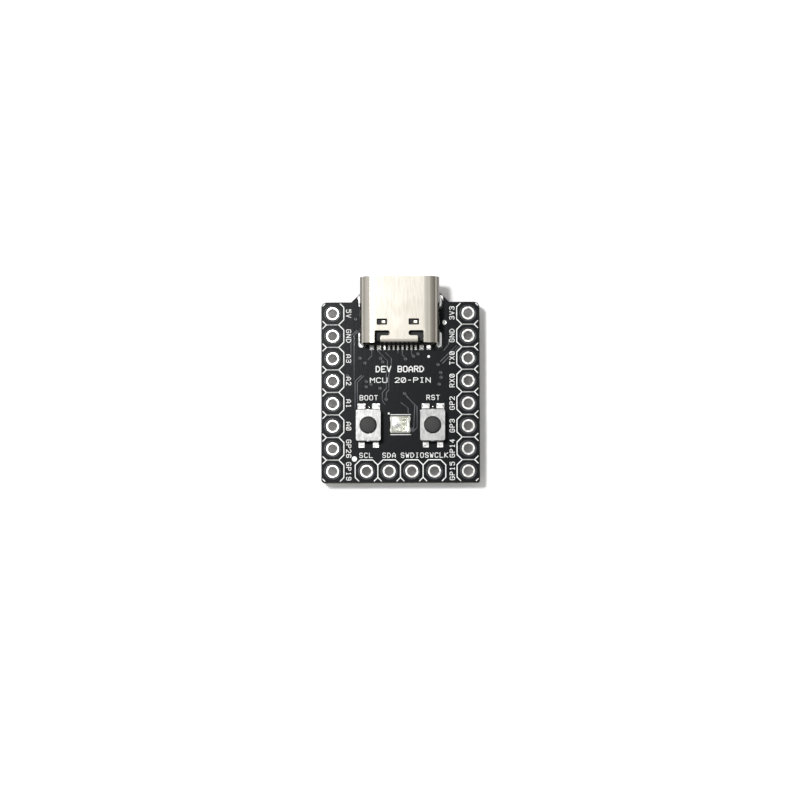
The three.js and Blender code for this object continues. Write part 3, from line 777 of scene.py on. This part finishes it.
def switch_dome(name, middle):
    """A sprung disc, drawn domed as it rests; in the real switch it flattens onto the centre contact when the
    plunger is pressed.
    """
    radius, gauge = 1.05, 0.06
    low, high = extent(name + "_snap_dome")
    rise = high.z - low.z - 0.08
    crown = [(radius * i / 10, low.z + rise * cos(pi / 2 * i / 10) ** 1.3) for i in range(11)]
    dome = bmesh.new()
    revolved(dome, [(r, z + gauge) for r, z in crown] + crown[::-1], middle.x, middle.y, 40, closed=False)
    shown = piece(name + "_sprung_dome", dome, dome_steel,
                  stands_for=[name + "_snap_dome"], angle=50)
    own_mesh(shown)


def switch_feet(name, middle):
    """Pads and solder for the four feet, with a drop of solder between two of them."""
    pads = bmesh.new()
    solder = bmesh.new()
    for side in (-1, 1):
        for end, width, length in ((-1, 0.62, 0.6), (1, 0.86, 0.74)):
            x, y = middle.x + side * 0.82, middle.y + end * (1.76 + length / 2)
            pad(pads, x, y, width, length)
            fillet(solder, x, y + end * 0.08, width * 0.92, length * 0.7, 0.22, pad_height - 0.01)
    drop_outline = [(0, 0.05), (0.06, 0.045), (0.1, 0.02), (0.11, 0)]
    revolved(solder, drop_outline, middle.x, middle.y + 2.12, 16, closed=False)
    piece(name + "_pads", pads, tin)
    piece(name + "_solder", solder, bright_solder, angle=60)
    coat(name + "_centre_contact", tin)
    coat(name + "_ring_contact", tin)


for name in ("boot", "reset"):
    switch = name + "_button"
    low, high = extent(switch + "_cover")
    middle = (low + high) / 2
    switch_cover(switch, middle)
    switch_base(switch, middle)
    switch_plunger(switch, middle, body=name + "_plunger")
    switch_dome(switch, middle)
    switch_feet(switch, middle)

# ---------------------------------------------------------------- RGB LED
# A white moulded carrier on four feet holds a driver chip and red, green and blue emitters,
# wired to a tinned lead frame with gold wire and cast over in clear resin.

carrier_low, carrier_high = extent("led_carrier")
lens_low, lens_high = extent("led_lens")
led_y = (carrier_low.y + carrier_high.y) / 2
white_resin = moulded("white_reflector_resin", (0.74, 0.73, 0.66), (0.84, 0.83, 0.77), 0.45, 6.0, 0.003)
clear_resin, shader = shader_of("clear_led_resin", 0.2, Transmission_Weight=0.8, IOR=1.5)
haze = cloudy(clear_resin, 5.0, 3.0)
tinted(clear_resin, shader, haze, (0.62, 0.63, 0.55), (0.84, 0.85, 0.78))
bumped(clear_resin, shader, haze, 0.012)

carrier = bmesh.new()
block(carrier, carrier_low, carrier_high, 0.03)
for side in (-1, 1):
    x = sorted((side * 0.97, side * 1.035))
    block(carrier, (x[0], led_y - 0.92, carrier_high.z), (x[1], led_y + 0.92, lens_high.z - 0.02), 0.015)
piece("led_white_carrier", carrier, white_resin, stands_for=["led_carrier"])

lens = bmesh.new()
block(lens, (-0.96, lens_low.y + 0.02, carrier_high.z + 0.001), (0.96, lens_high.y - 0.02, lens_high.z),
      0.05, 3)
piece("led_clear_lens", lens, clear_resin, stands_for=["led_lens"])

lead_frame = bmesh.new()
frame_top = carrier_high.z + 0.012
for x0, x1, y0, y1 in ((-0.85, 0.08, -0.72, 0.72), (0.22, 0.62, 0.27, 0.75), (0.22, 0.62, -0.2, 0.2),
                       (0.22, 0.62, -0.75, -0.27), (0.68, 0.88, -0.75, 0.75)):
    block(lead_frame, (x0, led_y + y0, carrier_high.z), (x1, led_y + y1, frame_top), 0.005, 1)
piece("led_lead_frame", lead_frame, tin)

silicon = metal_of("polished_silicon", (0.12, 0.12, 0.15), (0.24, 0.24, 0.28), 0.25, 12.0, 0.0005)
emitter = moulded("emitter_die", (0.30, 0.27, 0.12), (0.50, 0.46, 0.22), 0.3, 14.0, 0.001)
coat("led_driver_die", silicon)
dies = ["led_red_die", "led_green_die", "led_blue_die"]
for name in dies:
    coat(name, emitter)

# gold wires arch from the driver chip to each emitter and down to the lead frame
bond_gold = metal_of("bond_wire_gold", (0.80, 0.55, 0.20), (0.92, 0.70, 0.32), 0.2, 20.0, 0.0005)
wires = bmesh.new()
driver_low, driver_high = extent("led_driver_die")


def bond_wire(bm, start, end):
    """A fine wire that arches between two points: a small circle carried along the arch."""
    rise, radius, steps = 0.09, 0.012, 8
    start, end = Vector(start), Vector(end)
    arch = [start.lerp(end, i / steps) + Vector((0, 0, rise * sin(pi * i / steps))) for i in range(steps + 1)]
    along = (end - start).to_track_quat("Z", "Y").to_matrix().to_4x4()
    cut_end = bmesh.ops.create_circle(bm, segments=6, radius=radius, cap_ends=True,
                                      matrix=Matrix.Translation(arch[0]) @ along)["verts"]
    edges = loop_edges(cut_end)
    for last, point in zip(arch, arch[1:]):
        edges = drawn_out(bm, edges, point - last)
    bmesh.ops.contextual_create(bm, geom=[e for e in edges if e.is_boundary])


for name in dies:
    low, high = extent(name)
    middle = (low + high) / 2
    bond_wire(wires, (driver_high.x - 0.06, led_y + 0.1 + (middle.y - led_y) * 0.6, driver_high.z),
              (middle.x, middle.y, high.z))
    bond_wire(wires, (middle.x + 0.05, middle.y, high.z), (0.78, middle.y, frame_top))
for y in (-0.15, 0.1, 0.35):
    bond_wire(wires, (driver_low.x + 0.06, led_y + y, driver_high.z), (-0.78, led_y + y * 1.6, frame_top))
bmesh.ops.recalc_face_normals(wires, faces=wires.faces)
piece("led_bond_wires", wires, bond_gold)

led_pads = bmesh.new()
led_solder = bmesh.new()
for side in (-1, 1):
    for end in (-1, 1):
        y = led_y + end * 0.62
        pad(led_pads, side * 1.0, y, 0.34, 0.42)
        fillet(led_solder, side * 1.08, y, 0.2, 0.36, 0.2, pad_height - 0.01)
piece("led_pads", led_pads, tin)
piece("led_solder", led_solder, bright_solder, angle=60)

# ---------------------------------------------------------------- microcontroller
# A square leadless package of black epoxy on the underside, with fifteen tinned lands along
# each edge and a dimple at its first pin.

black_epoxy = moulded("black_epoxy", (0.012, 0.012, 0.013), (0.028, 0.028, 0.030), 0.55, 10.0, 0.006)
chip_low, chip_high = extent("microcontroller")
chip_middle = (chip_low + chip_high) / 2
chip_half = (chip_high.x - chip_low.x) / 2


def epoxy_body(bm, low, high, corner, draft):
    """A moulded body that hangs from the board, with a rounded outline and sides that draw in."""
    middle = (Vector(low) + Vector(high)) / 2
    half_x, half_y = (high[0] - low[0]) / 2, (high[1] - low[1]) / 2
    top = squared(bm, half_x, half_y, corner, high[2], 24)
    bottom = squared(bm, half_x - draft, half_y - draft, corner, low[2], 24)
    bmesh.ops.bridge_loops(bm, edges=loop_edges(top) + loop_edges(bottom))
    bmesh.ops.contextual_create(bm, geom=top)
    lid = bmesh.ops.contextual_create(bm, geom=bottom)["faces"]
    faces = list({f for v in top + bottom for f in v.link_faces})
    bmesh.ops.translate(bm, verts=top + bottom, vec=(middle.x, middle.y, 0))
    bmesh.ops.recalc_face_normals(bm, faces=faces)
    return lid[0]


# the dimple is sunk into the face that looks down
chip = bmesh.new()
lid = epoxy_body(chip, chip_low, chip_high, corner=0.08, draft=0.02)
dimple = bmesh.ops.create_circle(chip, segments=24, radius=0.28, matrix=Matrix.Translation(
    (chip_low.x + 0.8, chip_high.y - 0.8, chip_low.z)))["verts"]
rim = loop_edges(dimple)
outline = list(lid.edges)
bmesh.ops.delete(chip, geom=[lid], context="FACES_ONLY")
bmesh.ops.triangle_fill(chip, edges=outline + rim, use_beauty=True)
sunk = drawn_out(chip, rim, (0, 0, 0.06))
bmesh.ops.contextual_create(chip, geom=[e for e in sunk if e.is_boundary])
bmesh.ops.recalc_face_normals(chip, faces=chip.faces)
softened(piece("microcontroller_package", chip, black_epoxy,
               stands_for=["microcontroller"]), 0.03)

# the solder under the board starts inside the pads that it stands on
solder_base = -THICK - pad_height + 0.01
lands = bmesh.new()
lower_pads = bmesh.new()
lower_solder = bmesh.new()
for turn in range(4):
    heading = Matrix.Translation((chip_middle.x, chip_middle.y, 0)) @ Matrix.Rotation(turn * pi / 2, 4, "Z")
    for i in range(15):
        along = (i - 7) * 0.4
        land = block(lands, (chip_half - 0.3, along - 0.1, -THICK - 0.22),
                     (chip_half + 0.004, along + 0.1, -THICK - 0.03), 0.01, 1)
        bmesh.ops.transform(lands, matrix=heading, verts=land)
        below = block(lower_pads, (chip_half - 0.35, along - 0.12, -THICK - pad_height),
                      (chip_half + 0.35, along + 0.12, -THICK), 0.01, 1)
        bmesh.ops.transform(lower_pads, matrix=heading, verts=below)
        spot = heading @ Vector((chip_half + 0.1, along, 0))
        width, length = (0.36, 0.2) if turn % 2 == 0 else (0.2, 0.36)
        fillet(lower_solder, spot.x, spot.y, width, length, 0.16, solder_base, under=True)
piece("microcontroller_lands", lands, tin)

# ---------------------------------------------------------------- flash memory and crystal
# The flash memory is a small leadless epoxy chip. The crystal is a dark ceramic box with a
# plated lid welded over it.

flash_low, flash_high = extent("flash_chip")
flash = bmesh.new()
epoxy_body(flash, flash_low, flash_high, corner=0.06, draft=0.02)
softened(piece("flash_package", flash, black_epoxy, stands_for=["flash_chip"]), 0.03)
flash_y = (flash_low.y + flash_high.y) / 2
for side, edge in ((-1, flash_low.x), (1, flash_high.x)):
    for i in range(4):
        y = flash_y + (i - 1.5) * 0.5
        pad(lower_pads, edge + side * 0.1, y, 0.5, 0.28, under=True)
        fillet(lower_solder, edge + side * 0.12, y, 0.3, 0.24, 0.18, solder_base, under=True)

crystal_low, crystal_high = extent("crystal_base")
lid_low, lid_high = extent("crystal_lid")
dark_ceramic = moulded("dark_alumina", (0.030, 0.024, 0.020), (0.060, 0.048, 0.040), 0.5, 12.0, 0.004)
nickel = metal_of("nickel_plated_lid", (0.66, 0.64, 0.57), (0.76, 0.74, 0.67), 0.28, 6.0, 0.002)
base = bmesh.new()
block(base, crystal_low, crystal_high, 0.06)
piece("crystal_ceramic_base", base, dark_ceramic, stands_for=["crystal_base"])
lid = bmesh.new()
flange = Vector((0.1, 0.1, 0))
block(lid, lid_low, lid_high, 0.07, 3)
block(lid, Vector((lid_low.x, lid_low.y, lid_high.z - 0.06)) - flange, lid_high + flange, 0.02)
piece("crystal_welded_lid", lid, nickel, stands_for=["crystal_lid"])
for x, side in ((crystal_low.x, -1), (crystal_high.x, 1)):
    for y, end in ((crystal_low.y, -1), (crystal_high.y, 1)):
        pad(lower_pads, x - side * 0.35, y - end * 0.35, 1.0, 0.95, under=True)
        fillet(lower_solder, x + side * 0.02, y - end * 0.4, 0.22, 0.7, 0.2, solder_base, under=True)

# ---------------------------------------------------------------- regulator and diode
# Moulded epoxy bodies whose tinned leads bend down to the board like a gull's wings. The
# regulator has five leads and the diode two, each soldered to its own pad.

bodies = bmesh.new()
leads = bmesh.new()


def gull_lead(bm, x, start, side, reach, width, level):
    """One lead in five lengths of strip: level out of the body, down to the board and out."""
    gauge = 0.15
    overlap = 0.04
    foot = -THICK - gauge / 2 - 0.02
    path = [(start - side * 0.2, level), (reach - side * 0.42, level),
            (reach - side * 0.36, level + gauge / 2), (reach - side * 0.34, -THICK - gauge),
            (reach - side * 0.3, foot), (reach, foot)]
    for (y0, z0), (y1, z1) in zip(path, path[1:]):
        low = (x - width / 2, min(y0, y1) - overlap, min(z0, z1) - gauge / 2)
        high = (x + width / 2, max(y0, y1) + overlap, max(z0, z1) + gauge / 2)
        block(bm, low, high, 0.03)


regulator_low, regulator_high = extent("regulator")
regulator_y = (regulator_low.y + regulator_high.y) / 2
body_half = 0.8
epoxy_body(bodies, (regulator_low.x, regulator_y - body_half, regulator_low.z),
           (regulator_high.x, regulator_y + body_half, -THICK - 0.1), corner=0.06, draft=0.06)
for side, columns in ((-1, (-0.95, 0, 0.95)), (1, (-0.95, 0.95))):
    for x in columns:
        start, reach = regulator_y + side * body_half, regulator_y + side * 1.38
        gull_lead(leads, x, start, side, reach, 0.4, -THICK - 0.6)
        pad(lower_pads, x, regulator_y + side * 1.3, 0.6, 0.8, under=True)
        fillet(lower_solder, x, regulator_y + side * 1.36, 0.5, 0.4, 0.2, solder_base, under=True)

diode_low, diode_high = extent("diode")
diode_x, diode_y = (diode_low.x + diode_high.x) / 2, (diode_low.y + diode_high.y) / 2
body_half = 1.35
epoxy_body(bodies, (diode_low.x, diode_y - body_half, diode_low.z),
           (diode_high.x, diode_y + body_half, -THICK - 0.08), corner=0.06, draft=0.06)
for side in (-1, 1):
    start, reach = diode_y + side * body_half, diode_y + side * 1.83
    gull_lead(leads, diode_x, start, side, reach, 0.6, -THICK - 0.55)
    pad(lower_pads, diode_x, diode_y + side * 1.7, 0.9, 0.9, under=True)
    fillet(lower_solder, diode_x, diode_y + side * 1.8, 0.8, 0.4, 0.22, solder_base, under=True)
softened(piece("regulator_and_diode_bodies", bodies, black_epoxy,
               stands_for=["regulator", "diode"]), 0.04)
piece("regulator_and_diode_leads", leads, tin)

# ---------------------------------------------------------------- chip parts
# Small fired-ceramic blocks with tinned ends. The capacitors are tan all through, the
# resistors and the fuse carry a black glaze on a white alumina body, and the inductor is
# grey ferrite.

tan_ceramic = moulded("tan_capacitor_ceramic", (0.24, 0.155, 0.085), (0.36, 0.25, 0.15), 0.5, 9.0, 0.004)
black_glaze = moulded("black_resistor_glaze", (0.010, 0.010, 0.012), (0.024, 0.024, 0.028), 0.28, 9.0, 0.003)
alumina = moulded("white_alumina", (0.62, 0.62, 0.59), (0.76, 0.76, 0.73), 0.5, 12.0, 0.003)
grey_ferrite = moulded("grey_ferrite", (0.035, 0.035, 0.038), (0.075, 0.075, 0.080), 0.6, 9.0, 0.008)
end_tin = metal_of("chip_end_tin", (0.70, 0.69, 0.67), (0.84, 0.83, 0.81), 0.3, 14.0, 0.006)


def chip_part(bm, name, glazed=False):
    """A chip between its tinned ends, with its pads and fillets."""
    low, high = extent(name)
    upright = high.y - low.y > high.x - low.x
    long = 1 if upright else 0
    wide = 1 - long
    middle = (low + high) / 2
    length, width = high[long] - low[long], high[wide] - low[wide]
    soft = min(0.05, width * 0.1)
    core_low, core_high = Vector(low), Vector(high)
    under_tin = 0.02
    core_low[long] += length * 0.1
    core_high[long] -= length * 0.1
    core_low[wide] += under_tin
    core_high[wide] -= under_tin
    core_low.z += under_tin
    core_high.z -= under_tin
    block(bm, core_low, core_high, soft, made=1 if glazed else 0)
    if glazed:
        glaze_low, glaze_high = core_low.copy(), core_high.copy()
        glaze_low[long] += length * 0.12
        glaze_high[long] -= length * 0.12
        glaze_low[wide] += 0.025
        glaze_high[wide] -= 0.025
        glaze_low.z -= 0.018
        glaze_high.z = low.z + 0.08
        block(bm, glaze_low, glaze_high, 0.012, 2, made=0)
    tinned = length * 0.24
    for side in (-1, 1):
        end_low, end_high = Vector(low), Vector(high)
        if side < 0:
            end_high[long] = low[long] + tinned
        else:
            end_low[long] = high[long] - tinned
        block(bm, end_low, end_high, soft, 3, made=2)
        spot = middle.copy()
        spot[long] += side * (length / 2 - tinned / 2 + 0.04)
        size = [0, 0]
        size[long], size[wide] = tinned + 0.3, width + 0.12
        pad(lower_pads, spot.x, spot.y, *size, under=True)
        spot[long] = middle[long] + side * length / 2
        size[long], size[wide] = 0.26, width * 0.96
        fillet(lower_solder, spot.x, spot.y, *size, (high.z - low.z) * 0.5, solder_base, under=True)


def chip_piece(name, nodes, made, glazed=False):
    """All the parts of one kind, as one piece in three materials."""
    drawn = bmesh.new()
    for one in nodes:
        chip_part(drawn, one, glazed)
    piece(name, drawn, [made, alumina, end_tin], stands_for=nodes)


small = [f"capacitor_{i:02d}" for i in range(1, 11)]
chip_piece("decoupling_capacitors", small, tan_ceramic)
chip_piece("bulk_capacitors", ["bulk_capacitor_1", "bulk_capacitor_2"], tan_ceramic)
chip_piece("resistors", [f"resistor_{i}" for i in range(1, 7)], black_glaze, glazed=True)
chip_piece("power_inductor", ["inductor"], grey_ferrite)
chip_piece("input_fuse", ["fuse"], black_glaze, glazed=True)
piece("underside_pads", lower_pads, tin)
piece("underside_solder", lower_solder, bright_solder, angle=60)

# ---------------------------------------------------------------- underside tracks and legend
# The underside has the same masked tracks, and the same white frames round the holes, with
# each part's letter and number beside it and a white band across the diode.

copper = bmesh.new()
for side, row in [(-1, i) for i in range(6)] + [(1, 0)]:
    y = chip_middle.y - 2.4 + row * 0.8
    points = [(side * (chip_half + 0.55), y), (side * 4.15, y + 0.2), (side * 4.15, y + 0.5)]
    route(copper, points, track_width, track_height, -THICK, under=True)
for x, aside in ((-2.8, -0.6), (-2.0, -0.3), (2.0, 0.3), (2.8, 0.6)):
    points = [(x, chip_middle.y + chip_half + 0.4), (x, 3.35), (x + aside, 3.5)]
    route(copper, points, track_width, track_height, -THICK, under=True)
for side, inner in ((-1, 6.5), (1, 5.6)):
    for i in range(1, 7):
        y = last_row - i * PITCH
        points = [(side * 6.6, y), (side * inner, y), (side * (inner - 0.25), y - 0.25)]
        route(copper, points, track_width, track_height, -THICK, under=True)
piece("underside_tracks", copper, mask_over_copper, angle=50)

marks = bmesh.new()
frames(marks, -THICK, under=True)
for word, x, y in (("U1", 3.05, 3.3), ("U2", -5.2, -2.75), ("Y1", 0, -4.6), ("U3", 2.3, 6.2),
                   ("D1", -3.75, 4.4), ("L1", 3.6, -6.2), ("C1", -3.75, -5.2), ("C2", 4.3, 4.5)):
    lettering(marks, word, x, y, size=0.45, width=0.3, pen=0.09, under=True)
first_pin = Vector((chip_low.x - 0.3, chip_high.y + 0.35))
stroke(marks, first_pin, first_pin + Vector((0.001, 0)), 0.3, ink_height, -THICK, under=True)
piece("underside_legend", marks, ink, angle=60)
band = bmesh.new()
block(band, (diode_low.x + 0.065, diode_y + 0.8, diode_low.z - 0.001),
      (diode_high.x - 0.065, diode_y + 1.1, diode_low.z + 0.02), 0.002, 1)
piece("diode_band", band, ink)

# ---------------------------------------------------------------- floor and light
# A plain pale floor under the parts that the board stands on, and a soft lamp above it on
# the left with a weaker one on the right.

floor_drawn = bmesh.new()
bmesh.ops.create_grid(floor_drawn, x_segments=1, y_segments=1, size=0.6)
floor_mesh = mesh_of("floor", floor_drawn)
floor = bpy.data.objects.new("floor", floor_mesh)
pale, pale_shader = shader_of("pale_floor", 0.9)
pale_shader.inputs["Base Color"].default_value = (0.86, 0.86, 0.86, 1)
floor_mesh.materials.append(pale)
bpy.context.collection.objects.link(floor)


def lamp(name, place, size, watts):
    light = bpy.data.lights.new(name, "AREA")
    light.size = size
    light.energy = watts
    shown = bpy.data.objects.new(name, light)
    shown.matrix_world = Matrix.Translation(place) @ (
        Vector(place) - looked_at).to_track_quat("Z", "Y").to_matrix().to_4x4()
    bpy.context.collection.objects.link(shown)


lamp("key_lamp", (-0.125, 0.09, 0.5), 0.07, 2.5)
lamp("fill_lamp", (0.3, -0.2, 0.4), 0.5, 0.2)
# the studio is pale overhead and on the left and darker on the right, which shades the metal
studio = bpy.data.worlds.new("studio")
studio.use_nodes = True
background = studio.node_tree.nodes["Background"]
way = node(studio, "SeparateXYZ", Vector=node(studio, "TexCoord").outputs["Generated"])
lean = maths(studio, "MULTIPLY_ADD", way.outputs["X"], -0.35, way.outputs["Z"])
sky = node(studio, "ValToRGB", Fac=lean)
sky.color_ramp.elements[0].position = 0.0
sky.color_ramp.elements[0].color = (0.36, 0.35, 0.34, 1)
sky.color_ramp.elements[1].position = 0.85
sky.color_ramp.elements[1].color = (1, 1, 1, 1)
sky.color_ramp.elements.new(0.45).color = (0.60, 0.59, 0.57, 1)
join(studio, sky.outputs[0], background.inputs["Color"])
background.inputs["Strength"].default_value = 0.75
bpy.context.scene.world = studio
bpy.context.scene.view_settings.view_transform = "Standard"
